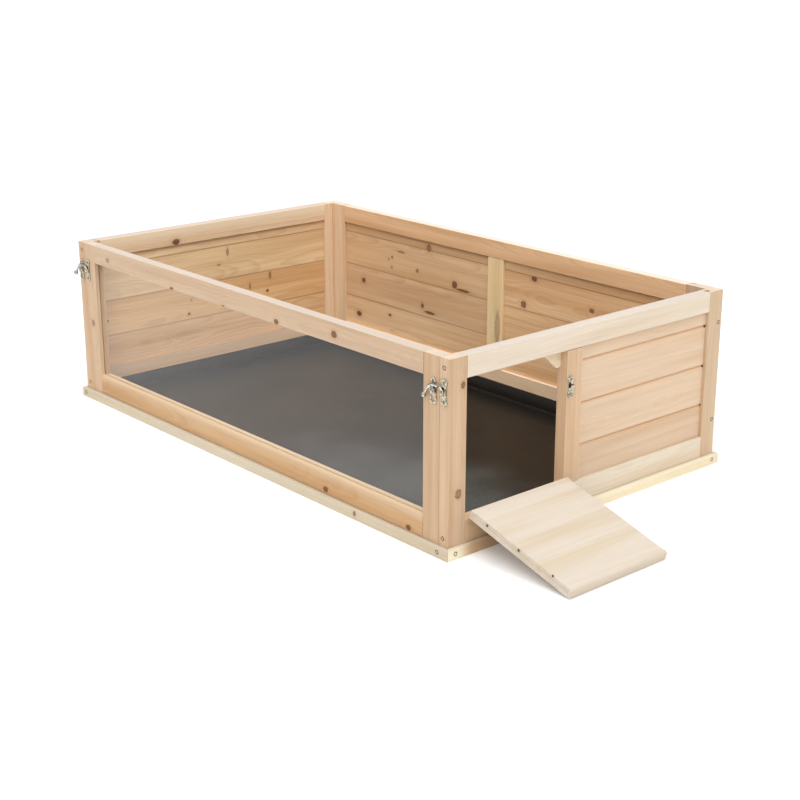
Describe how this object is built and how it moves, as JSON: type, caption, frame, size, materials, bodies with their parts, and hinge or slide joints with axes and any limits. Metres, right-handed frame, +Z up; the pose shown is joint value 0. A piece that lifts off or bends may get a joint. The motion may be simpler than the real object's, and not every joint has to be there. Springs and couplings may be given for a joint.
{
  "type": "gerbil enclosure",
  "caption": "Low open-topped pine pet pen with boarded walls, a lift-off clear window held by horn latches, a fold-down ramp door in one end and a plastic floor tray.",
  "frame": {"origin": "centre of the floor panel's underside, on the ground", "axes": "+X along the long side towards the ramp door's end, +Y from the window to the back wall, +Z up"},
  "size_m": [1.0984, 0.5556, 0.2673],
  "materials": {
    "pine_pale": "pale clear pine, planed and unvarnished",
    "pine_peach": "warm pine, planed and unvarnished",
    "pine_tan": "darker knotty pine, planed and unvarnished",
    "pine_orange": "orange-brown pine, planed and unvarnished",
    "birch_ply": "thin plywood, sanded",
    "black_plastic": "dark grey vacuum-formed sheet, satin",
    "clear_acrylic": "clear acrylic sheet, glossy",
    "nickel": "bright nickel plate"
  },
  "bodies": {
    "enclosure": {"plinth_front": "pine_pale", "plinth_right": "pine_pale", "plinth_back": "pine_pale", "plinth_left": "pine_pale", "left_dowel": "pine_pale", "right_dowel": "pine_pale", "right_top_rail": "pine_pale", "right_bottom_rail": "pine_pale", "floor_panel": "birch_ply", "left_rear_stile": "pine_peach", "left_front_stile": "pine_peach", "right_front_stile": "pine_peach", "right_rear_stile": "pine_peach", "door_post": "pine_peach", "right_board_1": "pine_peach", "right_board_2": "pine_peach", "right_board_3": "pine_peach", "right_board_4": "pine_peach", "left_top_rail": "pine_tan", "left_bottom_rail": "pine_tan", "back_right_stile": "pine_tan", "back_left_stile": "pine_tan", "back_mid_stile": "pine_tan", "back_top_rail": "pine_tan", "back_bottom_rail": "pine_tan", "door_stop": "pine_tan", "left_board_1": "pine_tan", "left_board_2": "pine_tan", "left_board_3": "pine_tan", "left_board_4": "pine_tan", "back_right_board_1": "pine_tan", "back_right_board_2": "pine_tan", "back_right_board_3": "pine_tan", "back_right_board_4": "pine_tan", "back_left_board_1": "pine_tan", "back_left_board_2": "pine_tan", "back_left_board_3": "pine_tan", "back_left_board_4": "pine_tan", "left_latch_plate": "nickel", "right_keeper": "nickel", "door_keeper": "nickel", "front_hinge_fixed_leaf": "nickel", "front_hinge_pin": "nickel", "rear_hinge_fixed_leaf": "nickel", "rear_hinge_pin": "nickel"},
    "front_panel": {"front_left_stile": "pine_peach", "front_right_stile": "pine_peach", "front_top_rail": "pine_peach", "front_bottom_rail": "pine_orange", "front_pane": "clear_acrylic", "left_keeper": "nickel", "right_latch_plate": "nickel"},
    "left_latch_lever": {"left_latch_lever": "nickel"},
    "right_latch_lever": {"right_latch_lever": "nickel"},
    "ramp": {"ramp_board": "pine_pale", "front_hinge_moving_leaf": "nickel", "rear_hinge_moving_leaf": "nickel", "ramp_latch_plate": "nickel"},
    "ramp_latch_lever": {"ramp_latch_lever": "nickel"},
    "tray": {"tray": "black_plastic"}
  },
  "joints": [
    {"name": "front_panel_lift", "type": "slide", "parent": "enclosure", "child": "front_panel", "axis": [0, 0, 1], "range_m": [0, 0.26]},
    {"name": "left_latch_turn", "type": "hinge", "parent": "enclosure", "child": "left_latch_lever", "pos_m": [-0.441, -0.2703, 0.2213], "axis": [0, -1, 0], "range_deg": [0, 90]},
    {"name": "right_latch_turn", "type": "hinge", "parent": "front_panel", "child": "right_latch_lever", "pos_m": [0.4215, -0.2703, 0.2213], "axis": [0, -1, 0], "range_deg": [0, 90]},
    {"name": "ramp_fold", "type": "hinge", "parent": "enclosure", "child": "ramp", "pos_m": [0.4531, -0.1485, 0.0483], "axis": [0, -1, 0], "range_deg": [0, 106]},
    {"name": "ramp_latch_turn", "type": "hinge", "parent": "ramp", "child": "ramp_latch_lever", "pos_m": [0.58555, -0.0702, 0.01324], "axis": [0.2756, 0, 0.9613], "range_deg": [0, 90]},
    {"name": "tray_lift", "type": "slide", "parent": "enclosure", "child": "tray", "axis": [0, 0, 1], "range_m": [0, 0.265]}
  ]
}
